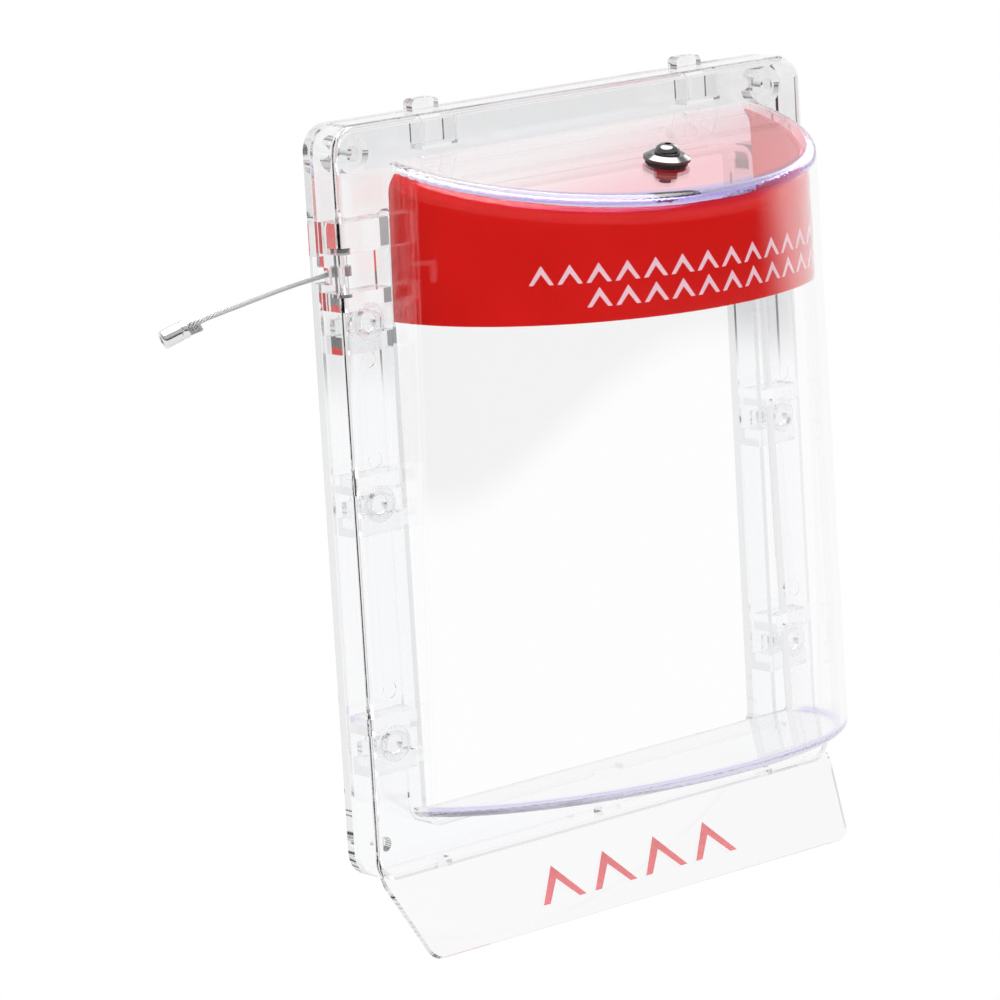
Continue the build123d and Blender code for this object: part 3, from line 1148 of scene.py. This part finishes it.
@dataclass
class RedBand:
    """Red band inside the top of the dome, rolled in along its upper edge.

    Args:
        inset: How far its outer face is inside the dome's outer wall.
        thickness: Its thickness.
        low: Height of its lower edge.
        crown_gap: From the crown's upper face down to where its roll aims.
        end_depth: Depth of its two ends.
        roll_radius, roll_turn: Radius and angle of its rolled upper edge.
        columns, roll_steps, straight_steps: How finely it is divided.
        ink_gap: From its face to the print on it.
        rows: Name, count of marks and height of each printed row.
    """

    inset: float = 2.9
    thickness: float = 1.0
    low: float = 59.4
    crown_gap: float = 4.6
    end_depth: float = 14.8
    roll_radius: float = 8.0
    roll_turn: float = math.radians(50.0)
    columns: int = 120
    roll_steps: int = 10
    straight_steps: int = 5
    ink_gap: float = 0.05
    rows: tuple[tuple[str, int, float], ...] = (("upper_marks", 15, 72.3), ("lower_marks", 11, 64.4))

    def _column(self, turn: float, back: float, inner: bool) -> list[Vector]:
        """Points of one column, from its foot to its rolled top.

        Args:
            turn: Turn from the middle of the dome.
            back: How far behind the half ellipse the column stands.
            inner: Whether it is on the band's inner face.

        Returns:
            The points in millimetres.
        """
        depth = self.thickness if inner else 0.0
        radius = self.roll_radius - depth
        place = DOME.point(turn, self.low, self.inset + depth)
        forward = -DOME.back - place.y - back
        top = DOME.crown - self.crown_gap - forward * DOME.crown_fall
        start = top - self.roll_radius * math.sin(self.roll_turn)
        levels = [
            (self.low + (start - self.low) * step / self.straight_steps, 0.0)
            for step in range(self.straight_steps)
        ]
        for step in range(self.roll_steps + 1):
            angle = self.roll_turn * step / self.roll_steps
            levels.append((start + radius * math.sin(angle), radius * (1 - math.cos(angle))))
        points = [DOME.point(turn, z, self.inset + depth + extra) for z, extra in levels]
        return [point + Vector((0, back, 0)) for point in points]

    def build(self) -> None:
        """Build the band's two faces and close them."""
        quarter = math.pi / 2
        stations = [(-quarter, DOME.back - self.end_depth)]
        stations += [(-quarter + math.pi * step / self.columns, 0.0) for step in range(self.columns + 1)]
        stations += [(quarter, DOME.back - self.end_depth)]
        shape = bmesh.new()
        sheets = []
        for inner in (False, True):
            sheets.append([
                [shape.verts.new(point * MM) for point in self._column(turn, back, inner)]
                for turn, back in stations
            ])
        outer, core = sheets
        for sheet in sheets:
            for left, right in zip(sheet, sheet[1:]):
                join(shape, left, right)
        for end in (0, -1):
            join(shape, outer[end], core[end])
            join(shape, [column[end] for column in outer], [column[end] for column in core])
        bmesh.ops.recalc_face_normals(shape, faces=shape.faces[:])
        settle("crown_band", mesh_of("crown_band", shape), RED, Body.COVER, ["red_band"])
        for name, count, rise in self.rows:
            PrintedRow(
                name, BAND_INK, DOME, count, pitch=9.6, width=8.4, height=6.3, stroke=1.5,
                rise=rise, proud=self.ink_gap - self.inset,
            ).build()


@dataclass
class Tether:
    """Steel cable with its crimped sleeve and cut tail, in millimetres of the row frame.

    Args:
        route: Points of the cable's route.
        cable_radius: Half of the cable's thickness.
        lay: Length in which a strand goes once round.
        wire_lay: Length in which a wire goes once round its strand.
        flare_length: Length over which the strands open before the sleeve.
        cable_flare, tail_flare: How far they open, as a share of the radius.
        cable_steps, tail_steps: Points along a wire.
        strand_place, wire_place: Middles of a strand in the cable and of a wire in its strand,
            as shares of the cable's radius.
        wire_share: How many times a wire's radius goes into the cable's.
        wire_sides: Corners of a wire.
        strands, wires: Strands in the cable and wires in a strand, the last one in the middle.
        tail_offset, tail_length, tail_tuck: The tail's place beside the cable, its length, and
            how far it runs into the sleeve.
        sleeve_radius, sleeve_length: Size of the sleeve.
        groove, groove_depth: Where the sleeve's groove starts and ends, and its depth.
        bore_radius, bore_depth: Size of the bore in its outer end.
        inner_round, lip_round, floor_round, outer_round, bore_round: Rounding of its inner end,
            its groove's lips and floor, its outer end and its bore's mouth.
        cable_length: Length of the whole cable; not used.
    """

    route: tuple[Point, ...] = (
        (-100.33, -5.77, 76.92),
        (-104.4, -2.3, 75.6),
        (-113.8, -2.8, 74.8),
        (-129.2, -5.3, 73.3),
        (-144.7, -8.3, 71.8),
        (-153.8, -9.0, 70.6),
        (-158.9, -7.0, 68.5),
    )
    cable_radius: float = 0.8
    lay: float = 9.0
    wire_lay: float = -5.0
    flare_length: float = 6.0
    cable_flare: float = 0.8
    tail_flare: float = 0.6
    cable_steps: int = 260
    tail_steps: int = 24
    strand_place: float = 2 / 3
    wire_place: float = 2 / 9
    wire_share: float = 8.6
    wire_sides: int = 5
    strands: int = 7
    wires: int = 7
    tail_offset: float = 1.95
    tail_length: float = 4.5
    tail_tuck: float = 0.4
    sleeve_radius: float = 3.1
    sleeve_length: float = 9.0
    groove: Span = (1.7, 2.5)
    groove_depth: float = 0.2
    bore_radius: float = 1.6
    bore_depth: float = 2.0
    inner_round: float = 0.5
    lip_round: float = 0.15
    floor_round: float = 0.1
    outer_round: float = 1.2
    bore_round: float = 0.25
    cable_length: float = 61.0

    def line(self, points: Sequence[Sequence[float]]) -> bpy.types.Mesh:
        """Draw the smooth line of a route, as a NURBS spline gives it.

        Args:
            points: The route's points in millimetres.

        Returns:
            The line, in metres.
        """
        curve = bpy.data.curves.new("cable_line", "CURVE")
        curve.dimensions = "3D"
        curve.resolution_u = 16
        spline = curve.splines.new("NURBS")
        spline.points.add(len(points) - 1)
        for spot, point in zip(spline.points, points):
            spot.co = (*(c * MM for c in point), 1.0)
        spline.order_u = 3
        spline.use_endpoint_u = True
        bare = bpy.data.objects.new("cable_line", curve)
        mesh = bpy.data.meshes.new_from_object(bare)
        bpy.data.objects.remove(bare)
        return mesh

    def rope_tree(self) -> GeometryTree:
        """Build the tree that lays twisted wires along a line.

        Returns:
            The tree.
        """
        tree = GeometryTree("twisted_wires")
        line = tree.take("Line", "Geometry")
        radius = tree.take("Radius", "Float")
        lay = tree.take("Lay", "Float")
        wire_lay = tree.take("Wire Lay", "Float")
        flare = tree.take("Flare", "Float")
        flare_length = tree.take("Flare Length", "Float")
        steps = tree.take("Steps", "Int")
        material = tree.take("Material", "Material")
        nodes = tree.nodes
        path = nodes.node("GeometryNodeMeshToCurve", values={0: line})
        length = nodes.node("GeometryNodeCurveLength", values={0: path})
        straight = nodes.node("GeometryNodeCurvePrimitiveLine", values={"End": (0.0, 0.0, 1.0)})
        fine = nodes.node("GeometryNodeResampleCurve", values={"Curve": straight, "Count": steps})
        copies = nodes.node(
            "GeometryNodeDuplicateElements", {"domain": "SPLINE"},
            {"Geometry": fine, "Amount": self.strands * self.wires},
        )
        number = Sock(nodes, copies.out.node.outputs[1])
        strand = nodes.node("ShaderNodeMath", {"operation": "FLOOR"}, {0: (number + 0.5) / self.wires})
        wire = number - strand * self.wires
        share = nodes.node("GeometryNodeSplineParameter", output="Factor")
        along = share * length
        end = (along - length + flare_length) / flare_length
        opened = 1.0 + end.ramp(0.0, 1.0) * flare
        strand_turn = strand * (FULL_TURN / (self.strands - 1)) + along / lay * FULL_TURN
        wire_turn = wire * (FULL_TURN / (self.wires - 1)) + along / wire_lay * FULL_TURN
        outer_strand = 1.0 - strand.above(self.strands - 1.5)
        outer_wire = 1.0 - wire.above(self.wires - 1.5)
        strand_reach = radius * opened * outer_strand * self.strand_place
        wire_reach = radius * opened * outer_wire * self.wire_place
        aside = strand_turn.cos() * strand_reach + wire_turn.cos() * wire_reach
        upward = strand_turn.sin() * strand_reach + wire_turn.sin() * wire_reach
        sample = nodes.node(
            "GeometryNodeSampleCurve", {"mode": "LENGTH", "use_all_curves": True},
            {"Curves": path, "Length": along}, output="Position",
        )
        tangent = Sock(nodes, sample.out.node.outputs["Tangent"])
        side = nodes.vector("NORMALIZE", nodes.vector("CROSS_PRODUCT", tangent, (0.0, 0.0, 1.0)))
        rise = nodes.vector("CROSS_PRODUCT", side, tangent)
        shift = nodes.vector("ADD", nodes.scale(side, aside), nodes.scale(rise, upward))
        place = nodes.vector("ADD", sample, shift)
        laid = nodes.node("GeometryNodeSetPosition", values={"Geometry": copies, "Position": place})
        ring = nodes.node("GeometryNodeCurvePrimitiveCircle", values={
            "Resolution": self.wire_sides, "Radius": radius / self.wire_share,
        })
        thick = nodes.node("GeometryNodeSetCurveRadius", values={"Curve": laid, "Radius": opened})
        tubes = nodes.node("GeometryNodeCurveToMesh", values={
            "Curve": thick, "Profile Curve": ring, "Fill Caps": True,
        })
        smooth = nodes.node("GeometryNodeSetShadeSmooth", values={"Geometry": tubes})
        tree.give(smooth, material)
        return tree

    def build(self) -> None:
        last = Vector(self.route[-1])
        aim = (last - Vector(self.route[-2])).normalized()
        sleeve = settle("crimped_sleeve", self._sleeve(last, aim), ALUMINIUM, Body.COVER, ["end_sleeve"])
        tree = self.rope_tree()
        values = {
            "Radius": self.cable_radius * MM,
            "Lay": self.lay * MM,
            "Wire Lay": self.wire_lay * MM,
            "Flare Length": self.flare_length * MM,
            "Material": WIRE.material(),
        }
        below = aim.cross(Vector((0, 1, 0))).normalized()
        foot = last + below * self.tail_offset
        stub = [foot + aim * self.tail_tuck, foot - aim * self.tail_length / 2, foot - aim * self.tail_length]
        tail_mesh = tree.run(self.line(stub), values | {"Flare": self.tail_flare, "Steps": self.tail_steps})
        tail = settle("cut_tail", tail_mesh, WIRE, Body.COVER, ["cable_tail"])
        path_mesh = self.line(self.route)
        cable_mesh = tree.run(path_mesh, values | {"Flare": self.cable_flare, "Steps": self.cable_steps})
        cable = settle("twisted_cable", cable_mesh, WIRE, Body.COVER, ["tether_cable"])
        for node in ("cable_eye", "anchor_pin"):
            dress(node, PLATED)

    def _sleeve(self, start: Vector, aim: Vector) -> bpy.types.Mesh:
        """Turn the sleeve, with rounded ends, a groove by its inner end and a bore in its outer end.

        Args:
            start: Middle of its inner end.
            aim: Its axis.

        Returns:
            Its mesh.
        """
        wide = self.sleeve_radius
        narrow = wide - self.groove_depth
        near, far = self.groove
        bore_end = self.sleeve_length - self.bore_depth
        outline = rounded([
            (0.0, 0.0, 0.0),
            (wide, 0.0, self.inner_round),
            (wide, near, self.lip_round),
            (narrow, near + self.groove_depth, self.floor_round),
            (narrow, far - self.groove_depth, self.floor_round),
            (wide, far, self.lip_round),
            (wide, self.sleeve_length, self.outer_round),
            (self.bore_radius, self.sleeve_length, self.bore_round),
            (self.bore_radius, bore_end, 0.0),
            (0.0, bore_end, 0.0),
        ], steps=6)
        return lathe("sleeve", outline, start, aim, segments=72)


@dataclass
class Studio:
    """Camera, light and floor.

    Args:
        azimuth, elevation, roll: Angles of the photograph's view, in degrees.
        camera_place: Where it was taken from, in metres.
        focal_share: Focal length as a share of the sensor's width.
        sensor, clip: The camera's sensor in millimetres, and its near and far limits.
        floor_drop, floor_half: The floor's depth below the object, and half its side.
        dim, sky, sky_rise: Least light all round, light from above, and where that sets in.
        rear, rear_rise: Light from the lit side, and where it sets in.
        top_box, top_edge: Light of the box overhead, and its edge.
        far_box, far_aim, far_edge: Light of the box behind on the right, its place and its edge.
        scattered, scatter_step: Light for dull surfaces, and the step that tells them.
        bounces, see_through: How often light may turn, and pass surfaces that let it through.
    """

    azimuth: float = -39.81
    elevation: float = 11.44
    roll: float = 3.34
    camera_place: Point = (-1.09480, -1.27837, 0.32657)
    focal_share: float = 5.0817
    sensor: float = 36.0
    clip: Span = (0.05, 60.0)
    floor_drop: float = 0.45
    floor_half: float = 14.0
    dim: float = 0.03
    sky: float = 0.55
    sky_rise: Span = (-0.02, 0.25)
    rear: float = 0.95
    rear_rise: Span = (0.1, 0.6)
    top_box: float = 8.0
    top_edge: Span = (0.78, 0.88)
    far_box: float = 3.0
    far_aim: Point = (0.87, 0.33, 0.36)
    far_edge: Span = (0.95, 0.985)
    scattered: float = 2.6
    scatter_step: Span = (0.4, 0.6)
    bounces: int = 72
    see_through: int = 40

    def camera(self) -> None:
        """Place the camera at the photograph's angle."""
        az = math.radians(self.azimuth)
        el = math.radians(self.elevation)
        turn = math.radians(self.roll)
        back = Vector((math.sin(az) * math.cos(el), -math.cos(az) * math.cos(el), math.sin(el)))
        level = Vector((math.cos(az), math.sin(az), 0))
        rise = back.cross(level)
        right = level * math.cos(turn) - rise * math.sin(turn)
        up = rise * math.cos(turn) + level * math.sin(turn)
        data = bpy.data.cameras.new("camera")
        data.sensor_width = self.sensor
        data.lens = data.sensor_width * self.focal_share
        data.clip_start, data.clip_end = self.clip
        camera = placed("camera", data)
        place = Matrix((right, up, back)).transposed().to_4x4()
        place.translation = Vector(self.camera_place)
        camera.matrix_world = place
        bpy.context.scene.camera = camera

    def floor(self) -> None:
        """Lay the floor far enough below that no shadow of it shows."""
        mesh = bpy.data.meshes.new("floor")
        half = self.floor_half
        corners = [(-half, -half), (half, -half), (half, half), (-half, half)]
        mesh.from_pydata([(x, y, -self.floor_drop) for x, y in corners], [], [(0, 1, 2, 3)])
        mesh.materials.append(FLOOR.material())
        placed("floor", mesh)

    def world(self) -> None:
        """Light the object from all round.

        The eye sees white. Light that was mirrored once sees a studio that is dim in front, lit
        from above and behind, with two bright boxes. Light that was mirrored more often sees
        nearly white, and dull surfaces get more light than that.
        """
        world = bpy.data.worlds.new("studio")
        bpy.context.scene.world = world
        world.use_nodes = True
        nodes = Nodes(world.node_tree)
        x, y, z = nodes.split(nodes.node("ShaderNodeTexCoord", output="Generated"))
        behind = (y + x * REAR_LEAN).ramp(*self.rear_rise)
        top_box = z.ramp(*self.top_edge) * self.top_box
        right, back, up = self.far_aim
        far_box = (right * x + back * y + up * z).ramp(*self.far_edge) * self.far_box
        above = z.ramp(*self.sky_rise) * self.sky
        once = self.dim + above + behind * (self.rear - above) + top_box + far_box
        open_light = 1.0 + mirrored(nodes, 1) * (once - 1.0)
        inside = open_light + mirrored(nodes, 2) * (MANY_LIGHT - open_light)
        dull = nodes.node("ShaderNodeLightPath", output="Diffuse Depth").ramp(*self.scatter_step)
        light = inside + dull * (self.scattered - inside)
        shade = nodes.node("ShaderNodeBackground", values={"Color": WHITE, "Strength": light})
        nodes.node("ShaderNodeOutputWorld", values={0: shade})

    def settings(self) -> None:
        """Plain colours, and enough bounces for the nested clear walls."""
        scene = bpy.context.scene
        scene.view_settings.view_transform = "Standard"
        scene.cycles.max_bounces = self.bounces
        scene.cycles.transmission_bounces = self.bounces
        scene.cycles.glossy_bounces = self.bounces
        scene.cycles.transparent_max_bounces = self.see_through
        scene.cycles.sample_clamp_indirect = 0.0

    def build(self) -> None:
        """Make everything that isn't the object."""
        self.camera()
        self.floor()
        self.world()
        self.settings()


def main() -> None:
    """Build every sub-assembly in turn."""
    logging.basicConfig(level=logging.INFO)
    Studio().build()
    Moulding("back_plate", "wall_plate", CLEAR_FRAME, Body.FRAME).build()
    Moulding("window_ring", "hook_ring", CLEAR_FRAME, Body.FRAME, contact=3.4).build()
    walls = ((0.0, 1), (DOME.wall, -1))
    Moulding("cover_shell", "cover_moulding", CLEAR_COVER, Body.COVER, walls).build()
    HangerPegs().build()
    RedBand().build()
    PrintedRow(
        "tab_marks", TAB_INK, TAB, count=4, pitch=23.0, width=19.0, height=12.5, stroke=3.0,
        rise=-21.3, proud=0.02,
    ).build()
    Tether().build()
    dress("seal_washer", RUBBER)
    for node in ("cup_washer", "crown_screw"):
        dress(node, DARK_CHROME)
    for node in ("inner_washer", "crown_nut"):
        dress(node, PLATED)


if __name__ == "__main__":
    main()
